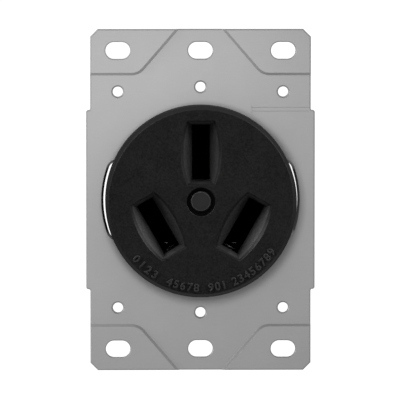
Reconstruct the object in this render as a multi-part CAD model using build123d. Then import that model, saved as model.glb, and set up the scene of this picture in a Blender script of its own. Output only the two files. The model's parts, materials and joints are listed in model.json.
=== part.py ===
from build123d import *
from collections import namedtuple
import math
import os

# Flush mount receptacle with three blade slots, on a steel mounting strap.
# Sizes are in millimetres. X points right and Z up, as seen from the front. The face looks toward -Y.
# A depth is a Y value: y = 0 is the back of the strap's ears, which lies on the wall box.

# Mounting strap: outline
strap_height = 95.25
strap_width = 61.45
shoulder_reach = 1.15
shoulder_height = 50.0
corner_cut = 2.1
shoulder_round = 0.6
shoulder_relief = 0.5

# Mounting strap: sheet and forming
sheet = 1.6
ear_step = 0.8
ear_slope = 0.7
ear_line_height = 35.45
tongue_half_root = 17.4
tongue_half_edge = 6.9
tongue_round = 4.0
field_margin = 3.0
edge_roll = 0.4
slot_roll = 0.25
hole_roll = 0.4
seat_roll = 0.65

# Mounting strap: punched holes
box_slot_pitch_x = 46.04
box_slot_pitch_z = 83.34
box_slot_length = 6.85
box_slot_width = 4.7
plate_hole_pitch_z = 60.33
plate_hole_pitch_centre = 63.0
plate_hole_radius = 1.42
seat_hole_radius = 25.0
lobe_radius = 27.05
lobe_height = 21.5
lobe_round = 2.5

# Face cover
face_radius = 26.6
face_height = 9.0
rim_chamfer = 1.0
cover_clearance = 0.3
counterbore_radius = 4.0
counterbore_depth = 4.6

# Blade slots, the same for all three poles
slot_circle_radius = 13.65
slot_length = 15.3
slot_width = 4.88
funnel_length = 17.8
funnel_end_width = 7.7
funnel_mid_width = 11.4
funnel_depth = 4.0
slot_land = 2.0

# Housing behind the strap
body_width = 48.0
body_height = 56.0
body_corner = 12.0
body_depth = 26.2
body_edge = 0.8
body_draft = 0.75
lid_thickness = 4.0
lid_edge = 1.5
lid_step = 0.15
fit_clearance = 0.2

# Contacts: a folded strip with two leaves, and a tongue that runs back into the lug
strip = 1.2
leaf_width = 12.0
leaf_tip_gap = 4.4
leaf_pinch_gap = 1.9
leaf_root_gap = 6.0
leaf_tip_length = 2.6
leaf_length = 16.4
leaf_bend = 0.9
contact_room_width = 10.6
contact_room_length = 15.9
blade_reach = 25.3
tongue_width = 7.6

# Spring bands around the leaves
band_thickness = 0.8
band_height = 6.0
band_start = 3.0
band_gap = 0.05
band_side_gap = 0.45
band_corner = 1.4

# Wire lugs
lug_width = 12.0
lug_length = 10.0
lug_mouth_width = 8.0
lug_mouth_height = 9.5
lug_inner_wall = 2.0
lug_outer_wall = 4.0
lug_corner = 0.8
lug_drop = 9.4
wire_hole_radius = 4.6
wire_funnel_radius = 6.2

# Clamp plates and screws
clamp_travel = 4.0
plate_thickness = 2.2
plate_length = 8.6
plate_gap = 0.1
plate_groove_width = 4.0
plate_groove_depth = 0.7
thread_radius = 3.175
running_clearance = 0.05
pivot_radius = 1.6
pivot_length = 1.2
pivot_end_gap = 0.2
head_radius = 4.5
head_height = 2.5
head_slot_width = 1.3
head_slot_depth = 1.5
head_edge = 0.3
head_pocket_gap = 0.3
head_recess = 0.3
pocket_mouth = 0.4

# Centre rivet and its washer
rivet_radius = 2.0
rivet_hole_gap = 0.1
rivet_head_radius = 3.015
rivet_head_height = 1.6
rivet_head_round = 0.55
washer_radius = 4.3
washer_thickness = 0.8
washer_pocket_depth = 2.4
washer_pocket_gap = 0.4
rivet_end_radius = 3.1
rivet_end_height = 1.2
rivet_end_round = 0.6

# Housing screws, driven from the back into the face cover
screw_radius = 1.75
screw_hole_gap = 0.2
screw_bite_gap = 0.05
screw_bite = 5.6
screw_head_radius = 3.1
screw_head_height = 1.9
screw_head_edge = 0.4
screw_pocket_gap = 0.3
screw_pocket_depth = 2.2
screw_slot_width = 0.9
screw_slot_depth = 1.0
upper_screw_x = 15.5
upper_screw_z = 13.5
lower_screw_x = 9.0
lower_screw_z = -20.0

# Width across the shoulders, and depths worked out from the sizes above
shoulder_width = strap_width + 2 * shoulder_reach
field_front = ear_step - sheet
field_back = ear_step
face_front = field_front - face_height
funnel_back = face_front + funnel_depth
room_front = funnel_back + slot_land
body_front = field_back
body_back = body_front + body_depth
lid_back = body_back + lid_thickness
web_front = face_front + blade_reach
web_back = web_front + strip
lug_front = web_back
lug_back = lug_front + lug_length
clamp_depth = lug_front + lug_length / 2
rivet_seat = face_front + counterbore_depth
washer_seat = lid_back - washer_pocket_depth
screw_seat = lid_back - screw_pocket_depth
screw_tip = field_back - screw_bite
lid_inset = lid_step + body_depth * math.tan(math.radians(body_draft))

# Heights in a lug, measured along its clamp screw from the middle of the wire mouth
mouth_top = lug_mouth_height / 2
mouth_floor = -mouth_top
lug_top = mouth_top + lug_outer_wall
lug_floor = mouth_floor - lug_inner_wall
plate_top = mouth_top - plate_gap
head_seat = lug_top + clamp_travel
head_top = head_seat + head_height
pocket_top = head_top + head_recess

# Each pole has its blade slot at an angle on the slot circle, the slot's turn from upright,
# the wire mouth's middle, and the turn of its clamp screw from pointing up.
Pole = namedtuple("Pole", "name slot_angle slot_turn lug_x lug_z lug_turn")
POLES = [
    Pole("neutral", 90, 0, 0, body_height / 2 - pocket_top, 0),
    Pole("left", 210, 30, -(body_width / 2 - pocket_top), -lug_drop, 90),
    Pole("right", 330, -30, body_width / 2 - pocket_top, -lug_drop, -90),
]

HOUSING_SCREWS = [
    (-upper_screw_x, upper_screw_z),
    (upper_screw_x, upper_screw_z),
    (-lower_screw_x, lower_screw_z),
    (lower_screw_x, lower_screw_z),
]

BASE = (Align.CENTER, Align.CENTER, Align.MIN)


# Helpers: drawings are made as seen from the front, with x to the right and y up

def at_depth(drawing, depth):
    """A front-view drawing set at a depth."""
    return Plane.XZ.offset(-depth) * drawing


def slab(drawing, front, back):
    """A front-view drawing given thickness between two depths."""
    return extrude(at_depth(drawing, back), amount=back - front)


def disc(radius, front, back, x=0, z=0):
    """A round slab centred at x, z."""
    return slab(Pos(x, z) * Circle(radius), front, back)


def funnel(front_drawing, front, back_drawing, back):
    """A straight-sided blend from one front-view drawing to another."""
    return loft([at_depth(front_drawing, front).face(), at_depth(back_drawing, back).face()], ruled=True)


def cone(front_radius, front, back_radius, back, x=0, z=0):
    """A round funnel between two depths."""
    return Pos(x, 0, z) * funnel(Circle(front_radius), front, Circle(back_radius), back)


def peg(radius, bottom, top, depth):
    """A round bar along Z, between two heights."""
    return Pos(0, depth, bottom) * Cylinder(radius, top - bottom, align=BASE)


def front_edges(solid, depth):
    """The edges that lie in the plane at a depth."""
    return solid.edges().filter_by_position(Axis.Y, depth - 0.001, depth + 0.001)


def at_slot(pole, piece):
    """Move a piece drawn upright about the origin to a pole's blade slot."""
    angle = math.radians(pole.slot_angle)
    x = slot_circle_radius * math.cos(angle)
    z = slot_circle_radius * math.sin(angle)
    return Pos(x, 0, z) * Rot(Y=-pole.slot_turn) * piece


def at_lug(pole, piece):
    """Move a piece drawn with its clamp screw pointing up to a pole's lug."""
    return Pos(pole.lug_x, 0, pole.lug_z) * Rot(Y=-pole.lug_turn) * piece


def at_four(pitch_x, pitch_z, drawing):
    """Four copies at the corners of a rectangle."""
    corners = [(x * pitch_x / 2, z * pitch_z / 2) for x in (-1, 1) for z in (-1, 1)]
    return [Pos(x, z) * drawing for x, z in corners]


def at_two(pitch_z, drawing):
    """Two copies above and below the centre."""
    return [Pos(0, z * pitch_z / 2) * drawing for z in (-1, 1)]


# Mounting strap

def near(point, half_x, half_z):
    """True where a point lies at the given distances from both centre lines."""
    return abs(abs(point.X) - half_x) < 0.01 and abs(abs(point.Y) - half_z) < 0.01


def strap_outline():
    """The sheet's outline, with cut corners and wider shoulders beside the face."""
    plain = Rectangle(strap_width, strap_height) + Rectangle(shoulder_width, shoulder_height)
    corners = [v for v in plain.vertices() if near(v, strap_width / 2, strap_height / 2)]
    cut = chamfer(corners, corner_cut)
    inner = [v for v in cut.vertices() if near(v, strap_width / 2, shoulder_height / 2)]
    relieved = fillet(inner, shoulder_relief)
    outer = [v for v in relieved.vertices() if near(v, shoulder_width / 2, shoulder_height / 2)]
    return fillet(outer, shoulder_round)


def seat_hole():
    """The centre hole: a circle with a wider lobe at each side."""
    lobes = Circle(lobe_radius) & Rectangle(2 * lobe_radius, lobe_height)
    lobe_tip = math.sqrt(lobe_radius ** 2 - (lobe_height / 2) ** 2)
    tips = [v for v in lobes.vertices() if near(v, lobe_tip, lobe_height / 2)]
    return Circle(seat_hole_radius) + fillet(tips, lobe_round)


def box_slots():
    """Six slots for the screws that hold the strap to a wall box."""
    slot = SlotOverall(box_slot_length, box_slot_width)
    return at_four(box_slot_pitch_x, box_slot_pitch_z, slot) + at_two(box_slot_pitch_z, slot)


def plate_holes():
    """Six tapped holes for the screws of a cover plate."""
    hole = Circle(plate_hole_radius)
    return at_four(box_slot_pitch_x, plate_hole_pitch_z, hole) + at_two(plate_hole_pitch_centre, hole)


def field_outline(grow):
    """The set-back field with its two tongues, run past the strap's edges, and grown by a distance."""
    run = (tongue_half_root - tongue_half_edge) / (strap_height / 2 - ear_line_height)
    side = shoulder_width / 2 + field_margin
    top = strap_height / 2 + field_margin
    tip = tongue_half_edge - run * field_margin
    right = [(side, ear_line_height), (tongue_half_root, ear_line_height), (tip, top)]
    upper = right + [(-x, z) for x, z in reversed(right)]
    lower = [(-x, -z) for x, z in upper]
    sharp = make_face(Polyline(*upper, *lower, close=True))
    roots = [v for v in sharp.vertices() if near(v, tongue_half_root, ear_line_height)]
    return offset(fillet(roots, tongue_round), grow)


def field_block(grow, front):
    """The field cut out of a sheet's thickness, with the slope of the ears' step all round."""
    slope = math.degrees(math.atan(ear_slope / ear_step))
    return extrude(at_depth(field_outline(grow), front), amount=-sheet, taper=slope)


def punch(hole, front, roll):
    """What a hole removes from the sheet: the hole itself and its broken front edge."""
    edge = extrude(at_depth(offset(hole, roll), front), amount=-roll, taper=45)
    return slab(hole, front, front + sheet) + edge


def punched_sheet(front):
    """The whole punched sheet, flat at one depth, with its front edges broken."""
    blank = slab(strap_outline(), front, front + sheet)
    blank = fillet(front_edges(blank, front), edge_roll)
    blank -= [punch(slot, front, slot_roll) for slot in box_slots()]
    blank -= [punch(hole, front, hole_roll) for hole in plate_holes()]
    return blank - punch(seat_hole(), front, seat_roll)


def mounting_strap():
    """The strap: four ears stand forward of the field, with a sloped step between them."""
    ears = punched_sheet(-sheet) - field_block(0, -sheet)
    return ears + (punched_sheet(field_front) & field_block(ear_slope, field_front))


# Face cover

def funnel_mouth():
    """A blade funnel at the face: straight ends and long sides that bulge."""
    half_end = funnel_end_width / 2
    half_mid = funnel_mid_width / 2
    top = funnel_length / 2
    right = ThreePointArc((half_end, -top), (half_mid, 0), (half_end, top))
    upper = Line((half_end, top), (-half_end, top))
    left = ThreePointArc((-half_end, top), (-half_mid, 0), (-half_end, -top))
    lower = Line((-half_end, -top), (half_end, -top))
    return make_face([right, upper, left, lower])


def slot_drawing():
    """A blade slot with its long side upright."""
    return Rectangle(slot_width, slot_length)


def contact_room(front, back):
    """The space around a contact's leaves."""
    return slab(Rectangle(contact_room_width, contact_room_length), front, back)


def blade_way():
    """What a blade slot removes from the face cover."""
    mouth = funnel(funnel_mouth(), face_front, slot_drawing(), funnel_back)
    throat = slab(slot_drawing(), face_front, room_front)
    return mouth + throat + contact_room(room_front, field_back)


def face_cover():
    """The round moulded face, with a spigot that fills the strap's centre hole."""
    cover = disc(face_radius, face_front, field_front)
    cover = chamfer(front_edges(cover, face_front), rim_chamfer)
    cover += disc(seat_hole_radius - cover_clearance, field_front, field_back)
    cover -= disc(counterbore_radius, face_front, rivet_seat)
    cover -= disc(rivet_radius + rivet_hole_gap, rivet_seat, field_back)
    cover -= [at_slot(pole, blade_way()) for pole in POLES]
    bite = screw_radius + screw_bite_gap
    cover -= [disc(bite, screw_tip, field_back, x, z) for x, z in HOUSING_SCREWS]
    return cover


# Housing

def body_drawing(inset):
    """The housing's outline, drawn in by a distance."""
    return RectangleRounded(body_width - 2 * inset, body_height - 2 * inset, body_corner - inset)


def lug_room():
    """The space that a lug slides into from the back, with a round way in for its clamp screw."""
    width = lug_width + 2 * fit_clearance
    bottom = lug_floor - fit_clearance
    top = lug_top + fit_clearance
    drawing = Pos(0, (top + bottom) / 2) * Rectangle(width, top - bottom)
    room = slab(drawing, web_front - fit_clearance, body_back)
    pocket_radius = head_radius + head_pocket_gap
    pocket = peg(pocket_radius, lug_top, pocket_top, clamp_depth)
    mouth = Cone(pocket_radius, pocket_radius + pocket_mouth, pocket_mouth, align=BASE)
    return room + pocket + Pos(0, clamp_depth, pocket_top - pocket_mouth) * mouth


def contact_carrier():
    """The deep housing behind the strap, which holds the contacts and lugs."""
    carrier = extrude(at_depth(body_drawing(0), body_front), amount=-body_depth, taper=body_draft)
    carrier = chamfer(front_edges(carrier, body_front), body_edge)
    carrier -= [at_slot(pole, contact_room(body_front, web_back)) for pole in POLES]
    carrier -= [at_lug(pole, lug_room()) for pole in POLES]
    carrier -= disc(rivet_radius + rivet_hole_gap, body_front, body_back)
    carrier -= [disc(screw_radius + screw_hole_gap, body_front, body_back, x, z) for x, z in HOUSING_SCREWS]
    return carrier


def back_cover():
    """The rear plate, with a funnel for each wire."""
    lid = slab(body_drawing(lid_inset), body_back, lid_back)
    lid = chamfer(front_edges(lid, lid_back), lid_edge)
    for pole in POLES:
        lid -= cone(wire_hole_radius, body_back, wire_funnel_radius, lid_back, pole.lug_x, pole.lug_z)
    lid -= disc(rivet_radius + rivet_hole_gap, body_back, lid_back)
    lid -= disc(washer_radius + washer_pocket_gap, washer_seat, lid_back)
    for x, z in HOUSING_SCREWS:
        lid -= disc(screw_radius + screw_hole_gap, body_back, lid_back, x, z)
        lid -= disc(screw_head_radius + screw_pocket_gap, screw_seat, lid_back, x, z)
    return lid


# Terminals

def leaf_offset(depth):
    """Half the distance between the middles of the two leaves at a depth, behind the pinch."""
    pinch = web_front - leaf_length
    root_half = (leaf_root_gap + strip) / 2
    pinch_half = (leaf_pinch_gap + strip) / 2
    share = (depth - pinch) / (web_front + strip / 2 - pinch)
    return pinch_half + share * (root_half - pinch_half)


def contact_leaves():
    """The two leaves and the web that joins them, drawn about the blade slot."""
    pinch = web_front - leaf_length
    tip = pinch - leaf_tip_length
    web = web_front + strip / 2
    tip_half = (leaf_tip_gap + strip) / 2
    side = [(tip_half, tip), (leaf_offset(pinch), pinch), (leaf_offset(web), web)]
    path = FilletPolyline(*[(-x, y) for x, y in side], *reversed(side), radius=leaf_bend)
    return extrude(trace(path, line_width=strip), amount=leaf_width / 2, both=True)


def contact_tongue():
    """The tongue that lies on the floor of the lug's wire mouth, drawn about the lug."""
    floor = Pos(0, mouth_floor + strip / 2) * Rectangle(tongue_width, strip)
    return slab(floor, web_front, lug_back)


def contact(pole):
    """One folded strip: leaves at the blade slot, a web across to the lug, and the tongue."""
    angle = math.radians(pole.slot_angle)
    slot = Vector(slot_circle_radius * math.cos(angle), 0, slot_circle_radius * math.sin(angle))
    local = at_lug(pole, Location()).inverse() * Pos(slot.X, slot.Y, slot.Z)
    reach = local.position.Z - mouth_floor
    bridge = Pos(0, mouth_floor + reach / 2) * Rectangle(tongue_width, reach)
    web = at_lug(pole, slab(bridge, web_front, web_back))
    return at_slot(pole, contact_leaves()) + web + at_lug(pole, contact_tongue())


def spring_band():
    """A steel band that squeezes the leaves together."""
    start = web_front - leaf_length + band_start
    end = start + band_height
    inner_width = 2 * (leaf_offset(end) + strip / 2 + band_gap)
    inner_length = leaf_width + 2 * band_side_gap
    inner = RectangleRounded(inner_width, inner_length, band_corner - band_thickness)
    return slab(offset(inner, band_thickness) - inner, start, end)


def wire_lug():
    """A brass box with a square mouth for the wire and a tapped wall for the clamp screw."""
    outline = RectangleRounded(lug_width, lug_top - lug_floor, lug_corner)
    mouth = Rectangle(lug_mouth_width, lug_mouth_height)
    box = slab(Pos(0, (lug_top + lug_floor) / 2) * outline - mouth, lug_front, lug_back)
    return box - peg(thread_radius + running_clearance, mouth_top, lug_top, clamp_depth)


def clamp_plate():
    """The plate that presses the wire, with a groove below and a socket for the screw's pivot above."""
    bottom = plate_top - plate_thickness
    half = plate_groove_width / 2
    section = Pos(0, plate_top - plate_thickness / 2) * Rectangle(tongue_width, plate_thickness)
    groove = Polyline((-half, bottom), (0, bottom + plate_groove_depth), (half, bottom), close=True)
    section -= make_face(groove)
    plate = slab(section, clamp_depth - plate_length / 2, clamp_depth + plate_length / 2)
    socket_floor = plate_top - pivot_length - pivot_end_gap
    return plate - peg(pivot_radius + running_clearance, socket_floor, plate_top, clamp_depth)


def clamp_screw():
    """A slotted screw, backed out by its full travel, with a plain pivot at its tip."""
    pivot = peg(pivot_radius, plate_top - pivot_length, plate_top, clamp_depth)
    shank = peg(thread_radius, plate_top, head_seat, clamp_depth)
    head = peg(head_radius, head_seat, head_top, clamp_depth)
    head = chamfer(head.edges().filter_by_position(Axis.Z, head_top - 0.001, head_top + 0.001), head_edge)
    slot = Box(2 * head_radius, head_slot_width, head_slot_depth, align=BASE)
    return pivot + shank + head - Pos(0, clamp_depth, head_top - head_slot_depth) * slot


# Fasteners

def centre_rivet():
    """The rivet through the whole stack, with a domed head at the face and a formed end at the back."""
    head_front = rivet_seat - rivet_head_height
    head = disc(rivet_head_radius, head_front, rivet_seat)
    head = fillet(front_edges(head, head_front), rivet_head_round)
    washer_back = washer_seat + washer_thickness
    end_back = washer_back + rivet_end_height
    end = disc(rivet_end_radius, washer_back, end_back)
    end = fillet(front_edges(end, end_back), rivet_end_round)
    return head + disc(rivet_radius, rivet_seat, washer_back) + end


def rivet_washer():
    """The washer under the rivet's formed end."""
    back = washer_seat + washer_thickness
    return disc(washer_radius, washer_seat, back) - disc(rivet_radius + rivet_hole_gap, washer_seat, back)


def housing_screw(x, z):
    """One long screw, with its slotted head at the back."""
    head_back = screw_seat + screw_head_height
    head = disc(screw_head_radius, screw_seat, head_back)
    head = chamfer(front_edges(head, head_back), screw_head_edge)
    slot = slab(Rectangle(2 * screw_head_radius, screw_slot_width), head_back - screw_slot_depth, head_back)
    shank = disc(screw_radius, screw_tip, screw_seat)
    return Pos(x, 0, z) * (shank + head - slot)


def housing_screws():
    """The four screws as one group."""
    return Compound(children=[housing_screw(x, z).solid() for x, z in HOUSING_SCREWS])


# Every node of the part

def all_pieces():
    """The pieces by name."""
    pieces = {
        "mounting_strap": mounting_strap(),
        "face_cover": face_cover(),
        "contact_carrier": contact_carrier(),
        "back_cover": back_cover(),
        "centre_rivet": centre_rivet(),
        "rivet_washer": rivet_washer(),
        "housing_screws": housing_screws(),
    }
    for pole in POLES:
        pieces[pole.name + "_contact"] = contact(pole)
        pieces[pole.name + "_spring"] = at_slot(pole, spring_band())
        pieces[pole.name + "_lug"] = at_lug(pole, wire_lug())
        pieces[pole.name + "_clamp_plate"] = at_lug(pole, clamp_plate())
        pieces[pole.name + "_clamp_screw"] = at_lug(pole, clamp_screw())
    return pieces


os.makedirs("parts", exist_ok=True)
for name, piece in all_pieces().items():
    export_step(piece, f"parts/{name}.step")
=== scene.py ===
import json
import math

import bmesh
import bpy
from mathutils import Matrix, Vector

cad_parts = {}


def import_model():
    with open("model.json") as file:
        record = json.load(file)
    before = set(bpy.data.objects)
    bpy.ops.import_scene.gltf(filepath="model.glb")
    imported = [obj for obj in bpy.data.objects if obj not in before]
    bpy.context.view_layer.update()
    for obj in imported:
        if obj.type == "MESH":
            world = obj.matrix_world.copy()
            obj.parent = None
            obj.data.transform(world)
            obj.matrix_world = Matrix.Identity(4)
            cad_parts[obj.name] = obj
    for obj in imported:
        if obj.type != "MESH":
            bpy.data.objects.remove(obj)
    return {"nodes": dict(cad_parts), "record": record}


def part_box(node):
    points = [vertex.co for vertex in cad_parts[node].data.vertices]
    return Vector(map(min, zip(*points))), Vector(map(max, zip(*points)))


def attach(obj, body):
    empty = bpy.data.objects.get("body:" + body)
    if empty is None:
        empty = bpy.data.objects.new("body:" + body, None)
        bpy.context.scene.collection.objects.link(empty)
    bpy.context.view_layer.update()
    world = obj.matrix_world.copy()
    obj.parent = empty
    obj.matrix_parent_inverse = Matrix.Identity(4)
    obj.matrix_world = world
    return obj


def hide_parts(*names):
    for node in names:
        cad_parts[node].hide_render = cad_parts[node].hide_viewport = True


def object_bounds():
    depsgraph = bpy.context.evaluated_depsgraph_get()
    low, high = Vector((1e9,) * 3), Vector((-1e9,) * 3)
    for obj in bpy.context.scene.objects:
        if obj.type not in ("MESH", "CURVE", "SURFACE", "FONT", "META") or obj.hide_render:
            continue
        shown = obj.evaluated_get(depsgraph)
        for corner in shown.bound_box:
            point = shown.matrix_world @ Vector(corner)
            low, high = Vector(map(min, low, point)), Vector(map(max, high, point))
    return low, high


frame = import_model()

# Flush mount receptacle: finishes, small marks, threads, light and camera.
# Units are metres. X points right, Z up and the face looks toward -Y.
CAD_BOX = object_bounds()
FACE_FRONT = CAD_BOX[0].y
SCENE = bpy.context.scene
MM = 0.001

# Grain and patches of the finishes, in cells per metre
PLATING_GRAIN = 5200
PLATING_PATCHES = 60
ROLLING_STRETCH = (260, 260, 9000)
PLASTIC_GRAIN = 2300
PLASTIC_PATCHES = 110
METAL_GRAIN = 3000
METAL_PATCHES = 150
NOISE_ROUGHNESS = 0.55

# Depth of the finishes' bumps
PLATING_DEPTH = 0.03 * MM
ROLLING_DEPTH = 0.02 * MM
PLASTIC_DEPTH = 0.12 * MM
METAL_DEPTH = 0.02 * MM

# Radius that softens every edge, and how finely it is worked out
METAL_EDGE = 0.1 * MM
PLASTIC_EDGE = 0.2 * MM
EDGE_SAMPLES = 8

# Tones of the strap's plating, from dark grain to light grain, and its finish
PLATING_TONES = [(0.3, 0.42), (0.5, 0.46), (0.7, 0.50)]
PLATING_ROUGHNESS = (0.44, 0.56)
PLATING_METALLIC = 0.3

# Where in the grain's noise plastic and metal reach their darkest and lightest tone
PLASTIC_STOPS = (0.32, 0.68)
METAL_STOPS = (0.3, 0.7)
METAL_DARK_SHARE = 0.86
# How far the grain moves the roughness to either side
PLASTIC_ROUGHNESS_CHANGE = (0.10, -0.10)
METAL_ROUGHNESS_CHANGE = (-0.06, 0.08)

# Width of the soft border between two tones on one piece
TONE_FADE = 0.15 * MM

# Painted shade: the strap is painted dark along the centre hole's lobes, where their rolled edge lies in
# shade, out to a radius and up to a height where it fades
LOBE_SHADE_RADIUS = 27.6 * MM
LOBE_SHADE_FULL = 8.2 * MM
LOBE_SHADE_END = 10.2 * MM
LOBE_SHADE_TONE = 0.02

# The slope between the ears and the field, just inside its front and back edges
SLOPE_FRONT = -1.57 * MM
SLOPE_BACK = -0.83 * MM
SLOPE_FADE = 0.05 * MM
# Its painted light and shade changes from corner to corner within this far of the strap's middle lines
SLOPE_MIDDLE = 4.0 * MM
# Painted light and shade of the slope: lighter at the strap's upper left, by its upper right and lower
# left, to darker at its lower right
SLOPE_PAINTED_LIGHT_AND_SHADE = [(0.0, 0.57), (0.5, 0.46), (1.0, 0.38)]

# The face cover's chamfered rim, with painted light at its foot that fades upwards into a slightly darker
# painted shade, and the cover's side, painted near black as shade
RIM_INNER = 25.6 * MM
RIM_FOOT = -24.0 * MM
RIM_TOP = -10.0 * MM
RIM_PAINTED_LIGHT_AND_SHADE = [(0.0, 0.014), (1.0, 0.003)]
SIDE_INNER = 26.42 * MM

# The funnels' walls get painted light, from this depth on and outside the counterbore
FUNNEL_TOP = -8.92 * MM
BORE_EDGE = 4.6 * MM
# The circle on which the slots lie parts the lower funnels' inner walls from their outer walls
SLOT_CIRCLE = 13.65 * MM
WALL_FADE = 1.0 * MM
# Painted light on the funnels' walls: the inner walls lighter than the face, the outer walls lighter still
INNER_WALL_PAINTED_LIGHT = (0.0075, 0.0215)
OUTER_WALL_PAINTED_LIGHT = (0.0135, 0.0375)

# The depths between which the slots' walls fade into painted shade, a near black tone also painted on the
# cover's side
SLOT_FRONT = -5.2 * MM
SLOT_BACK = -4.9 * MM
PAINTED_SHADE_TONE = 0.0012
UNLIT_ROUGHER = 0.35

# Metal painted near black as shade in front of a depth turns to its own colour over this depth, keeps this
# share of its colour where painted dark and is rougher by this much
SHADE_PAINT_FADE = 4.0 * MM
SHADE_PAINT_SHARE = 0.004
SHADE_PAINT_ROUGHER = 0.3
# A painted highlight makes metal this many times as bright
PAINTED_HIGHLIGHT_GAIN = 4

# Raised digits along the foot of the face
MARK_RADIUS = 23.9 * MM
MARK_HEIGHT = 2.3 * MM
MARK_RISE = 0.25 * MM
MARK_SINK = 0.1 * MM
MARK_EDGE = 0.05 * MM
MARK_BOLD = 0.005
# The digits, the angle of each group's middle and the angle from one digit to the next
MARK_GROUPS = [("0123", 229.5, 5.4), ("45678", 257.7, 4.6), ("901", 281.0, 4.4), ("23456789", 308.7, 4.5)]

# Strip gauge: two raised lines and a tick on the strap's field
FIELD_FRONT = -0.8 * MM
GAUGE_LEFT = 14.4 * MM
GAUGE_RIGHT = 30.1 * MM
GAUGE_LOW = 24.75 * MM
GAUGE_HIGH = 25.8 * MM
GAUGE_LINE = 0.22 * MM
GAUGE_TICK = 2.2 * MM
GAUGE_RISE = 0.07 * MM

# Clamp screws with a cut thread
SCREW_HEAD_RADIUS = 4.5 * MM
SCREW_HEAD_HEIGHT = 2.47 * MM
SCREW_HEAD_EDGE = 0.3 * MM
SCREW_SLOT_WIDTH = 1.3 * MM
SCREW_SLOT_DEPTH = 1.5 * MM
THREAD_RADIUS = 3.1 * MM
THREAD_PITCH = 25.4 / 28 * MM
THREAD_DEPTH = 0.5 * MM
THREAD_LENGTH = 8.13 * MM
# Shares of the pitch: the flat at a crest or a root, and the taper at the thread's foot
THREAD_FLAT = 0.1
THREAD_LEAD = 2 / 3
PIVOT_RADIUS = 1.6 * MM
PIVOT_LENGTH = 1.2 * MM
SCREW_SIDES = 48
RINGS_A_TURN = 14
# The way each clamp screw's head points
SCREW_WAYS = {"neutral": Vector((0, 0, 1)), "left": Vector((-1, 0, 0)), "right": Vector((1, 0, 0))}

# Camera, with the width of the picture at the part and the point in its middle
CAMERA_DISTANCE = 1.5
CAMERA_AZIMUTH = math.radians(-1.2)
CAMERA_ELEVATION = math.radians(4.0)
CAMERA_NEAR = 0.05
CAMERA_FAR = 50
FRAME_WIDTH = 0.11159
SENSOR_WIDTH = 36.0
AIM = Vector((-0.12 * MM, 0.0, -0.12 * MM))

# Lights, each with its name, place, size and watts
PLATE_LIGHT = ("plate_light", (-0.0155, -0.18, 0.0275), 0.055, 0.104)
EDGE_LIGHT = ("edge_light", (-0.40, -0.09, 0.07), 0.12, 0.45)
FACE_LIGHTS = [
    ("key_light", (-0.25, -0.8, 0.4), 0.45, 1.0),
    ("left_light", (-0.53, -0.16, 0.37), 0.3, 8.8),
    ("right_light", (0.53, -0.16, 0.37), 0.3, 9.0),
]
LOW_LIGHT = ("low_light", (0.0, -0.05, -0.65), 0.3, 6.5)
# The places of the two pairs behind the part, and each one's size and watts
BACK_PLACES = {"left": (-0.40, 0.60, 0.35), "right": (0.40, 0.60, 0.35)}
BACK_LIGHT = (0.8, 3.4)
PLATE_BACK_LIGHT = (0.4, 1.6)

# The world's glow, the directions between which it changes, and the white behind the part
FRONT_GLOW = 0.32
SIDE_GLOW = 0.4
LOW_SHARE = 0.6
GLOW_FRONT_TO_SIDE = (-0.95, -0.5)
GLOW_FOOT_TO_TOP = (-0.8, 0.6)
BACKDROP = 1.1
WHITE = (1, 1, 1, 1)


# Shader nodes

def new_material(name):
    """A material with its node tree, shader and object-space coordinates."""
    material = bpy.data.materials.new(name)
    material.use_nodes = True
    tree = material.node_tree
    shader = tree.nodes["Principled BSDF"]
    place = tree.nodes.new("ShaderNodeTexCoord").outputs["Object"]
    return material, tree, shader, place


def noise(tree, place, scale, detail):
    """Soft noise at a number of cells per metre."""
    node = tree.nodes.new("ShaderNodeTexNoise")
    node.inputs["Scale"].default_value = scale
    node.inputs["Detail"].default_value = detail
    node.inputs["Roughness"].default_value = NOISE_ROUGHNESS
    tree.links.new(place, node.inputs["Vector"])
    return node.outputs["Fac"]


def stretched(tree, place, scale):
    """Coordinates stretched along the axes."""
    node = tree.nodes.new("ShaderNodeMapping")
    node.inputs["Scale"].default_value = scale
    tree.links.new(place, node.inputs["Vector"])
    return node.outputs["Vector"]


def split(tree, place):
    """The X, Y and Z of coordinates, by name."""
    node = tree.nodes.new("ShaderNodeSeparateXYZ")
    tree.links.new(place, node.inputs["Vector"])
    return node.outputs


def calculate(tree, operation, *values):
    """One sum of factors and plain numbers."""
    node = tree.nodes.new("ShaderNodeMath")
    node.operation = operation
    for socket, value in zip(node.inputs, values):
        if isinstance(value, (int, float)):
            socket.default_value = value
        else:
            tree.links.new(value, socket)
    return node.outputs["Value"]


def span(tree, value, start, stop, smooth=False):
    """A factor that goes from 0 to 1 as a value goes from one number to another."""
    node = tree.nodes.new("ShaderNodeMapRange")
    if smooth:
        node.interpolation_type = "SMOOTHSTEP"
    node.inputs["From Min"].default_value = start
    node.inputs["From Max"].default_value = stop
    tree.links.new(value, node.inputs["Value"])
    return node.outputs["Result"]


def remap(tree, factor, low, high):
    """A factor of 0 to 1 turned into a range."""
    node = tree.nodes.new("ShaderNodeMapRange")
    node.inputs["To Min"].default_value = low
    node.inputs["To Max"].default_value = high
    tree.links.new(factor, node.inputs["Value"])
    return node.outputs["Result"]


def mix_factors(tree, first, second, share):
    """Two factors blended by a fixed share of the second."""
    node = tree.nodes.new("ShaderNodeMix")
    node.inputs["Factor"].default_value = share
    tree.links.new(first, node.inputs["A"])
    tree.links.new(second, node.inputs["B"])
    return node.outputs["Result"]


def blend_colours(tree, share, first, second):
    """Two colours, fixed or linked, mixed by a linked share of the second."""
    node = tree.nodes.new("ShaderNodeMix")
    node.data_type = "RGBA"
    tree.links.new(share, node.inputs["Factor"])
    # The node has sockets of these names for every kind of value
    for name, colour in (("A", first), ("B", second)):
        target = next(socket for socket in node.inputs if socket.name == name and socket.type == "RGBA")
        if isinstance(colour, tuple):
            target.default_value = (*colour, 1)
        else:
            tree.links.new(colour, target)
    return next(socket for socket in node.outputs if socket.type == "RGBA")


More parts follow.
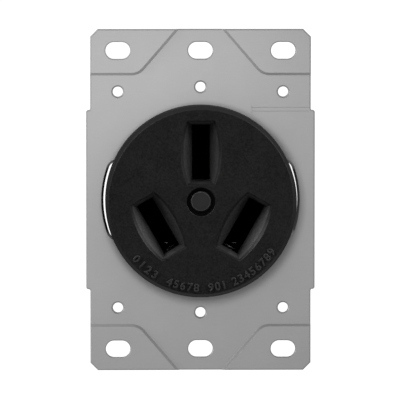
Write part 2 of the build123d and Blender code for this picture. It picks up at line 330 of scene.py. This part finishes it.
def ramp(tree, factor, stops):
    """A colour ramp from (position, colour) stops."""
    node = tree.nodes.new("ShaderNodeValToRGB")
    node.color_ramp.elements[0].position = stops[0][0]
    node.color_ramp.elements[0].color = (*stops[0][1], 1)
    node.color_ramp.elements[1].position = stops[-1][0]
    node.color_ramp.elements[1].color = (*stops[-1][1], 1)
    for position, colour in stops[1:-1]:
        node.color_ramp.elements.new(position).color = (*colour, 1)
    tree.links.new(factor, node.inputs["Fac"])
    return node.outputs["Color"]


def grey(tone):
    """A neutral colour."""
    return (tone, tone, tone)


def scaled(colour, share):
    """A colour times a number."""
    return tuple(share * part for part in colour)


def grey_ramp(tree, factor, stops):
    """A ramp of neutral colours from (position, tone) stops."""
    return ramp(tree, factor, [(position, grey(tone)) for position, tone in stops])


def bump(tree, shader, height, distance, strength, under):
    """A bump from a height factor, over the normals of soft edges or of another bump."""
    node = tree.nodes.new("ShaderNodeBump")
    node.inputs["Distance"].default_value = distance
    node.inputs["Strength"].default_value = strength
    tree.links.new(height, node.inputs["Height"])
    tree.links.new(under, node.inputs["Normal"])
    tree.links.new(node.outputs["Normal"], shader.inputs["Normal"])
    return node.outputs["Normal"]


def soft_edges(tree, radius):
    """Normals that round every edge by a small radius."""
    node = tree.nodes.new("ShaderNodeBevel")
    node.samples = EDGE_SAMPLES
    node.inputs["Radius"].default_value = radius
    return node.outputs["Normal"]


def axis_share(tree, place, axis, start, stop):
    """How far a point has come from one place to another along an axis, from 0 to 1."""
    return span(tree, split(tree, place)[axis], start, stop)


def ring_share(tree, place, inner, outer):
    """A factor that goes from 0 to 1 between two distances from the middle line along Y."""
    length = tree.nodes.new("ShaderNodeVectorMath")
    length.operation = "LENGTH"
    tree.links.new(stretched(tree, place, (1, 0, 1)), length.inputs[0])
    return span(tree, length.outputs["Value"], inner, outer)


def height_share(tree, place, inner, outer):
    """A factor that goes from 0 to 1 between two heights above or below the middle."""
    return span(tree, calculate(tree, "ABSOLUTE", split(tree, place)["Z"]), inner, outer)


def outer_share(tree, place):
    """1 on the lower funnels' walls nearer the rim, and 0 on their other walls and in the upper funnel."""
    parts = split(tree, place)
    # The lower slots lie 30 degrees below level: in that direction this is twice the way out from the rivet
    aside = calculate(tree, "MULTIPLY", calculate(tree, "ABSOLUTE", parts["X"]), math.sqrt(3))
    twice_out = calculate(tree, "SUBTRACT", aside, parts["Z"])
    return span(tree, twice_out, 2 * SLOT_CIRCLE - WALL_FADE, 2 * SLOT_CIRCLE + WALL_FADE)


# Materials

def lobe_shade(tree, place, colour):
    """The plating's colour, with painted shade along the centre hole's lobes."""
    outside = ring_share(tree, place, LOBE_SHADE_RADIUS, LOBE_SHADE_RADIUS + TONE_FADE)
    beyond = height_share(tree, place, LOBE_SHADE_FULL, LOBE_SHADE_END)
    return blend_colours(tree, calculate(tree, "MAXIMUM", outside, beyond), grey(LOBE_SHADE_TONE), colour)


def painted_slope_light_and_shade(tree, place, colour):
    """The plating's colour, with painted light and shade on the slope: lighter in the strap's upper left
    corner, darker in its lower right.
    """
    behind_ears = axis_share(tree, place, "Y", SLOPE_FRONT, SLOPE_FRONT + SLOPE_FADE)
    before_field = axis_share(tree, place, "Y", SLOPE_BACK, SLOPE_BACK - SLOPE_FADE)
    across = axis_share(tree, place, "X", -SLOPE_MIDDLE, SLOPE_MIDDLE)
    down = axis_share(tree, place, "Z", SLOPE_MIDDLE, -SLOPE_MIDDLE)
    slope_painted_colour = grey_ramp(tree, mix_factors(tree, across, down, share=0.5), SLOPE_PAINTED_LIGHT_AND_SHADE)
    return blend_colours(tree, calculate(tree, "MULTIPLY", behind_ears, before_field), colour, slope_painted_colour)


def plated_steel():
    """Matt zinc plating on rolled steel: fine grain, faint rolling lines and soft patches."""
    material, tree, shader, place = new_material("plated_steel")
    grain = noise(tree, place, PLATING_GRAIN, detail=3.0)
    lines = noise(tree, stretched(tree, place, ROLLING_STRETCH), scale=1.0, detail=2.0)
    patches = noise(tree, place, PLATING_PATCHES, detail=3.0)
    rolled_grain = mix_factors(tree, grain, lines, share=0.35)
    tone = mix_factors(tree, rolled_grain, patches, share=0.3)
    # The plating's colour gets painted shade along the centre hole's lobes
    colour = lobe_shade(tree, place, grey_ramp(tree, tone, PLATING_TONES))
    # The slope between the ears and the field gets painted light and shade
    tree.links.new(painted_slope_light_and_shade(tree, place, colour), shader.inputs["Base Color"])
    tree.links.new(remap(tree, grain, *PLATING_ROUGHNESS), shader.inputs["Roughness"])
    shader.inputs["Metallic"].default_value = PLATING_METALLIC
    rolled = bump(tree, shader, lines, ROLLING_DEPTH, strength=0.2, under=soft_edges(tree, METAL_EDGE))
    bump(tree, shader, grain, PLATING_DEPTH, strength=0.35, under=rolled)
    return material


def plastic_colour(tree, tone, dark, light):
    """Neutral plastic between two tones."""
    return grey_ramp(tree, tone, list(zip(PLASTIC_STOPS, (dark, light))))


def cover_painted_light_and_shade(tree, place, tone, colour, finish):
    """The cover's colour and roughness, with painted light on its rim's foot and its funnels' walls, and
    painted shade on its rim above the foot, its side and its slots.
    """
    rim = ring_share(tree, place, RIM_INNER, RIM_INNER + TONE_FADE)
    # Painted light at the rim's foot, fading upwards into a slightly darker painted shade
    rim_painted_light_and_shade = grey_ramp(tree, axis_share(tree, place, "Z", RIM_FOOT, RIM_TOP), RIM_PAINTED_LIGHT_AND_SHADE)
    colour = blend_colours(tree, rim, colour, rim_painted_light_and_shade)

    sunk = axis_share(tree, place, "Y", FUNNEL_TOP, FUNNEL_TOP + TONE_FADE)
    outside_bore = ring_share(tree, place, BORE_EDGE, BORE_EDGE + TONE_FADE)
    # Painted light on the funnels' walls, more on the lower funnels' outer walls
    inner_wall_light = plastic_colour(tree, tone, *INNER_WALL_PAINTED_LIGHT)
    outer_wall_light = plastic_colour(tree, tone, *OUTER_WALL_PAINTED_LIGHT)
    walls = blend_colours(tree, outer_share(tree, place), inner_wall_light, outer_wall_light)
    colour = blend_colours(tree, calculate(tree, "MULTIPLY", sunk, outside_bore), colour, walls)

    # Painted shade: the cover's side and the slots' walls behind these depths are painted near black and
    # made rougher
    side = ring_share(tree, place, SIDE_INNER, SIDE_INNER + TONE_FADE)
    painted_shade = calculate(tree, "MAXIMUM", side, axis_share(tree, place, "Y", SLOT_FRONT, SLOT_BACK))
    colour = blend_colours(tree, painted_shade, colour, grey(PAINTED_SHADE_TONE))
    rougher = calculate(tree, "MAXIMUM", painted_shade, rim)
    return colour, calculate(tree, "MULTIPLY_ADD", rougher, UNLIT_ROUGHER, finish)


def moulded_plastic(name, dark, light, roughness, specular, is_cover=False):
    """Black moulded plastic with a fine spark-eroded texture."""
    material, tree, shader, place = new_material(name)
    grain = noise(tree, place, PLASTIC_GRAIN, detail=1.5)
    patches = noise(tree, place, PLASTIC_PATCHES, detail=4.0)
    tone = mix_factors(tree, grain, patches, share=0.35)
    colour = plastic_colour(tree, tone, dark, light)
    finish = remap(tree, tone, *(roughness + change for change in PLASTIC_ROUGHNESS_CHANGE))
    if is_cover:
        colour, finish = cover_painted_light_and_shade(tree, place, tone, colour, finish)
    tree.links.new(colour, shader.inputs["Base Color"])
    tree.links.new(finish, shader.inputs["Roughness"])
    shader.inputs["Specular IOR Level"].default_value = specular
    bump(tree, shader, grain, PLASTIC_DEPTH, strength=0.35, under=soft_edges(tree, PLASTIC_EDGE))
    return material


def metal(name, colour, roughness, dark_until=None, highlight_from=None):
    """Metal with a slight grain, with painted shade in front of a depth or a painted highlight outside a
    radius.
    """
    material, tree, shader, place = new_material(name)
    grain = noise(tree, place, METAL_GRAIN, detail=3.0)
    patches = noise(tree, place, METAL_PATCHES, detail=2.0)
    tone = mix_factors(tree, grain, patches, share=0.5)
    shaded = ramp(tree, tone, list(zip(METAL_STOPS, (scaled(colour, METAL_DARK_SHARE), colour))))
    finish = remap(tree, grain, *(roughness + change for change in METAL_ROUGHNESS_CHANGE))
    if dark_until:
        # Painted shade: in front of this depth the metal is painted near black and made rougher
        unshaded = axis_share(tree, place, "Y", dark_until - SHADE_PAINT_FADE, dark_until)
        shaded = blend_colours(tree, unshaded, scaled(colour, SHADE_PAINT_SHARE), shaded)
        finish = calculate(tree, "MULTIPLY_ADD", unshaded, -SHADE_PAINT_ROUGHER, finish)
    if highlight_from:
        # Painted highlight: outside this radius the metal is this many times as bright
        painted_highlight = ring_share(tree, place, highlight_from, highlight_from + TONE_FADE)
        shaded = blend_colours(tree, painted_highlight, shaded, scaled(colour, PAINTED_HIGHLIGHT_GAIN))
    tree.links.new(shaded, shader.inputs["Base Color"])
    tree.links.new(finish, shader.inputs["Roughness"])
    shader.inputs["Metallic"].default_value = 1.0
    bump(tree, shader, grain, METAL_DEPTH, strength=0.25, under=soft_edges(tree, METAL_EDGE))
    return material


# After its name come a plastic's dark tone, light tone and roughness, or a metal's colour and roughness
MATERIALS = {
    "plated_steel": plated_steel(),
    "black_plastic": moulded_plastic("black_plastic", 0.0, 0.0085, 0.5, specular=0.14, is_cover=True),
    # A lighter copy of the black plastic for the raised digits, standing in for the light they catch
    "painted_light_plastic": moulded_plastic("painted_light_plastic", 0.009, 0.022, 0.5, specular=0.14),
    "housing_plastic": moulded_plastic("housing_plastic", 0.008, 0.013, 0.45, specular=0.4),
    # The rivet head's rim gets a painted highlight
    "black_metal": metal("black_metal", grey(0.075), 0.45, highlight_from=2.45 * MM),
    "bright_steel": metal("bright_steel", grey(0.6), 0.32),
    # Painted shade on the springs, contacts and lugs in front of these depths, where they show through the
    # slots
    "spring_steel": metal("spring_steel", grey(0.3), 0.7, dark_until=30 * MM),
    "contact_brass": metal("contact_brass", (0.62, 0.46, 0.24), 0.7, dark_until=24 * MM),
    "lug_brass": metal("lug_brass", (0.70, 0.53, 0.28), 0.66, dark_until=24 * MM),
    "brass_screw": metal("brass_screw", (0.76, 0.57, 0.29), 0.3),
    "silver_screw": metal("silver_screw", grey(0.7), 0.28),
}


def slot_of(node):
    """The record's material slot of a node."""
    rows = frame["record"]["subparts"]
    return next(row["material_slot"] for row in rows if row["node"] == node)


def paint(thing, finish):
    """Give a piece its one material."""
    thing.data.materials.clear()
    thing.data.materials.append(MATERIALS[finish])


# Pieces

def mesh_of(name, shape):
    """A mesh from a bmesh, which is used up."""
    mesh = bpy.data.meshes.new(name)
    shape.to_mesh(mesh)
    shape.free()
    return mesh


def new_object(name, data):
    """An object in the scene from its data."""
    thing = bpy.data.objects.new(name, data)
    SCENE.collection.objects.link(thing)
    return thing


def worked_out(thing):
    """A mesh of an object with its curve or its modifiers worked out."""
    result = thing.evaluated_get(bpy.context.evaluated_depsgraph_get())
    return bpy.data.meshes.new_from_object(result)


def new_piece(name, shape, finish, body):
    """A finished piece from a bmesh, riding on a body."""
    piece = new_object(name, mesh_of(name, shape))
    paint(piece, finish)
    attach(piece, body)
    return piece


# Small raised marks

def digit_mesh(digit):
    """One digit of unit height, centred, with a rounded edge."""
    curve = bpy.data.curves.new("digit", "FONT")
    curve.body = digit
    curve.align_x = "CENTER"
    curve.extrude = 0.5 * (MARK_RISE + MARK_SINK) / MARK_HEIGHT
    curve.bevel_depth = MARK_EDGE / MARK_HEIGHT
    curve.offset = MARK_BOLD
    holder = new_object("digit", curve)
    mesh = worked_out(holder)
    bpy.data.objects.remove(holder)
    heights = [vertex.co.y for vertex in mesh.vertices]
    low, high = min(heights), max(heights)
    mesh.transform(Matrix.Translation((0, -(low + high) / 2, 0)))
    mesh.transform(Matrix.Diagonal((1 / (high - low), 1 / (high - low), 1, 1)))
    return mesh


def face_marks():
    """Plain digits in an arc along the foot of the face."""
    shape = bmesh.new()
    meshes = {digit: digit_mesh(digit) for digit in "0123456789"}
    level = FACE_FRONT - (MARK_RISE - MARK_SINK) / 2
    for digits, middle, pitch in MARK_GROUPS:
        for index, digit in enumerate(digits):
            angle = math.radians(middle + pitch * (index - (len(digits) - 1) / 2))
            outward = Vector((math.cos(angle), 0, math.sin(angle)))
            along = Vector((-math.sin(angle), 0, math.cos(angle)))
            place = outward * MARK_RADIUS + Vector((0, level, 0))
            turn = Matrix((along, -outward, Vector((0, -1, 0)))).transposed().to_4x4()
            mesh = meshes[digit].copy()
            mesh.transform(Matrix.Translation(place) @ turn @ Matrix.Scale(MARK_HEIGHT, 4))
            shape.from_mesh(mesh)
    return new_piece("face_marks", shape, "painted_light_plastic", "receptacle")


def add_bar(shape, low, high, chamfer_width):
    """A raised bar between two corners on the strap, with its front edges broken."""
    centre = [(a + b) / 2 for a, b in zip(low, high)]
    size = [b - a for a, b in zip(low, high)]
    place = Matrix.Translation(centre) @ Matrix.Diagonal((*size, 1))
    made = bmesh.ops.create_cube(shape, size=1, matrix=place)["verts"]
    front = [vertex for vertex in made if vertex.co.y < centre[1]]
    for vertex in front:
        vertex.co.x += chamfer_width if vertex.co.x < centre[0] else -chamfer_width
        vertex.co.z += chamfer_width if vertex.co.z < centre[2] else -chamfer_width


def strip_gauge():
    """The two raised lines and the tick that show how much wire to strip."""
    shape = bmesh.new()
    front = FIELD_FRONT - GAUGE_RISE
    back = FIELD_FRONT + GAUGE_RISE
    for height in (GAUGE_LOW, GAUGE_HIGH):
        low = (GAUGE_LEFT, front, height - GAUGE_LINE / 2)
        high = (GAUGE_RIGHT, back, height + GAUGE_LINE / 2)
        add_bar(shape, low, high, GAUGE_RISE)
    middle = (GAUGE_LOW + GAUGE_HIGH) / 2
    low = (GAUGE_LEFT - GAUGE_LINE, front, middle - GAUGE_TICK / 2)
    high = (GAUGE_LEFT, back, middle + GAUGE_TICK / 2)
    add_bar(shape, low, high, GAUGE_RISE)
    return new_piece("strip_gauge", shape, "plated_steel", "receptacle")


# Clamp screws with their threads cut

def thread_radius(height, angle):
    """The screw's radius at a height above the thread's foot and an angle round it."""
    turn = (height / THREAD_PITCH - angle / (2 * math.pi)) % 1
    wave = 1 - abs(2 * turn - 1)
    groove = min(1.0, max(0.0, (wave - THREAD_FLAT) / (1 - 2 * THREAD_FLAT)))
    runout = min(1.0, (THREAD_LENGTH - height) / THREAD_PITCH)
    lead_in = max(0.0, 1 - height / (THREAD_LEAD * THREAD_PITCH))
    return THREAD_RADIUS - THREAD_DEPTH * max(groove * runout, lead_in)


def screw_rings():
    """The screw's section from the pivot's tip up to the head's top, as heights and radii round it."""
    top = THREAD_LENGTH + SCREW_HEAD_HEIGHT
    angles = [2 * math.pi * side / SCREW_SIDES for side in range(SCREW_SIDES)]
    steps = round(THREAD_LENGTH / THREAD_PITCH * RINGS_A_TURN)
    rings = [(-PIVOT_LENGTH, [PIVOT_RADIUS] * SCREW_SIDES), (0, [PIVOT_RADIUS] * SCREW_SIDES)]
    for step in range(steps + 1):
        height = THREAD_LENGTH * step / steps
        rings.append((height, [thread_radius(height, angle) for angle in angles]))
    rings.append((THREAD_LENGTH, [SCREW_HEAD_RADIUS] * SCREW_SIDES))
    rings.append((top - SCREW_HEAD_EDGE, [SCREW_HEAD_RADIUS] * SCREW_SIDES))
    rings.append((top, [SCREW_HEAD_RADIUS - SCREW_HEAD_EDGE] * SCREW_SIDES))
    return rings


def turned_shape():
    """The screw without its slot, standing on the thread's foot with its head up."""
    shape = bmesh.new()
    rings = []
    for height, radii in screw_rings():
        ring = []
        for side, radius in enumerate(radii):
            angle = 2 * math.pi * side / SCREW_SIDES
            ring.append(shape.verts.new((radius * math.cos(angle), radius * math.sin(angle), height)))
        rings.append(ring)
    for low, high in zip(rings, rings[1:]):
        for side in range(SCREW_SIDES):
            after = (side + 1) % SCREW_SIDES
            shape.faces.new((low[side], low[after], high[after], high[side]))
    shape.faces.new(reversed(rings[0]))
    shape.faces.new(rings[-1])
    return shape


def slot_shape():
    """The block that cuts the driver slot across the head."""
    shape = bmesh.new()
    size = Matrix.Diagonal((3 * SCREW_HEAD_RADIUS, SCREW_SLOT_WIDTH, 2 * SCREW_SLOT_DEPTH, 1))
    place = Matrix.Translation((0, 0, THREAD_LENGTH + SCREW_HEAD_HEIGHT))
    bmesh.ops.create_cube(shape, size=1, matrix=place @ size)
    return shape


def screw_mesh():
    """The finished screw: the turned shape with the driver slot cut across its head."""
    body = new_object("turned", mesh_of("turned", turned_shape()))
    cutter = new_object("cutter", mesh_of("cutter", slot_shape()))
    cut = body.modifiers.new("slot", "BOOLEAN")
    cut.operation = "DIFFERENCE"
    cut.object = cutter
    mesh = worked_out(body)
    for thing in (body, cutter):
        bpy.data.objects.remove(thing)
    return mesh


def threaded_screw(pole, way, mesh):
    """A clamp screw in place of its plain node, with its head where the node's is."""
    node = pole + "_clamp_screw"
    low, high = (Vector(corner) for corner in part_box(node))
    reach = abs((high - low).dot(way)) / 2
    foot = (low + high) / 2 + way * (reach - THREAD_LENGTH - SCREW_HEAD_HEIGHT)
    backward = Vector((0, 1, 0))
    turn = Matrix((backward.cross(way), backward, way)).transposed().to_4x4()
    shape = bmesh.new()
    shape.from_mesh(mesh)
    shape.transform(Matrix.Translation(foot) @ turn)
    screw = new_piece(node + "_threaded", shape, slot_of(node), pole + "_screw")
    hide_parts(node)


# Light and camera

def camera():
    """A long lens, a little above the axis of the face."""
    data = bpy.data.cameras.new("camera")
    data.sensor_width = SENSOR_WIDTH
    data.lens = SENSOR_WIDTH * CAMERA_DISTANCE / FRAME_WIDTH
    data.clip_start = CAMERA_NEAR
    data.clip_end = CAMERA_FAR
    view = new_object("camera", data)
    aside = math.sin(CAMERA_AZIMUTH) * math.cos(CAMERA_ELEVATION)
    away = -math.cos(CAMERA_AZIMUTH) * math.cos(CAMERA_ELEVATION)
    back = Vector((aside, away, math.sin(CAMERA_ELEVATION)))
    view.location = AIM + CAMERA_DISTANCE * back
    view.rotation_euler = (-back).to_track_quat("-Z", "Y").to_euler()
    SCENE.camera = view


def soft_light(name, place, size, watts):
    """A square soft box aimed at the middle of the part, and not itself in the picture."""
    data = bpy.data.lights.new(name, "AREA")
    data.shape = "SQUARE"
    data.size = size
    data.energy = watts
    lamp = new_object(name, data)
    lamp.location = place
    lamp.rotation_euler = (-Vector(place)).to_track_quat("-Z", "Y").to_euler()
    lamp.visible_camera = False
    return lamp


def group_of(name, pieces):
    """A collection that only serves to name pieces to a light."""
    group = bpy.data.collections.new(name)
    for piece in pieces:
        group.objects.link(piece)
    return group


def light_only(lamp, pieces, shaded_by=None):
    """Let a light reach only some pieces and, where that is given, be shaded by only some."""
    lamp.light_linking.receiver_collection = group_of(lamp.name + "_lights", pieces)
    if shaded_by:
        lamp.light_linking.blocker_collection = group_of(lamp.name + "_shaded_by", shaded_by)


def world():
    """A white studio: pure white to the camera, and a ring of soft light all round the part."""
    shade = bpy.data.worlds.new("studio")
    shade.use_nodes = True
    tree = shade.node_tree
    way = split(tree, tree.nodes.new("ShaderNodeTexCoord").outputs["Generated"])
    beside = span(tree, way["Y"], *GLOW_FRONT_TO_SIDE, smooth=True)
    above = remap(tree, span(tree, way["Z"], *GLOW_FOOT_TO_TOP, smooth=True), LOW_SHARE, 1.0)
    strength = remap(tree, calculate(tree, "MULTIPLY", beside, above), FRONT_GLOW, SIDE_GLOW)
    glow = tree.nodes["Background"]
    glow.inputs["Color"].default_value = WHITE
    tree.links.new(strength, glow.inputs["Strength"])
    seen = tree.nodes.new("ShaderNodeBackground")
    seen.inputs["Color"].default_value = WHITE
    seen.inputs["Strength"].default_value = BACKDROP
    mix = tree.nodes.new("ShaderNodeMixShader")
    tree.links.new(tree.nodes.new("ShaderNodeLightPath").outputs["Is Camera Ray"], mix.inputs["Fac"])
    tree.links.new(glow.outputs["Background"], mix.inputs[1])
    tree.links.new(seen.outputs["Background"], mix.inputs[2])
    tree.links.new(mix.outputs["Shader"], tree.nodes["World Output"].inputs["Surface"])
    SCENE.world = shade


def lights(plate, dark_pieces, back_pieces):
    """Separate lights for the strap, the black pieces in front and the pieces behind."""
    light_only(soft_light(*PLATE_LIGHT), plate)
    light_only(soft_light(*EDGE_LIGHT), plate, shaded_by=plate)
    for row in FACE_LIGHTS:
        light_only(soft_light(*row), dark_pieces)
    low_light = soft_light(*LOW_LIGHT)
    low_light.visible_glossy = False
    light_only(low_light, dark_pieces)
    for side, place in BACK_PLACES.items():
        light_only(soft_light(side + "_back_light", place, *BACK_LIGHT), back_pieces)
        light_only(soft_light(side + "_plate_back_light", place, *PLATE_BACK_LIGHT), plate)


# The CAD nodes get their finishes, and the marks and the threaded screws join them

for node_name, node_object in frame["nodes"].items():
    paint(node_object, "spring_steel" if node_name.endswith("_spring") else slot_of(node_name))

MARKS = face_marks()
GAUGE = strip_gauge()
SCREW_MESH = screw_mesh()
for pole_name, screw_way in SCREW_WAYS.items():
    threaded_screw(pole_name, screw_way, SCREW_MESH)

PLATE = [frame["nodes"]["mounting_strap"], GAUGE]
DARK_PIECES = [frame["nodes"]["face_cover"], frame["nodes"]["centre_rivet"], MARKS]
SHAPES = [thing for thing in bpy.data.objects if thing.type == "MESH"]
BACK_PIECES = [thing for thing in SHAPES if thing not in PLATE + DARK_PIECES]

SCENE.view_settings.view_transform = "Standard"
SCENE.view_settings.look = "None"
camera()
world()
lights(PLATE, DARK_PIECES, BACK_PIECES)
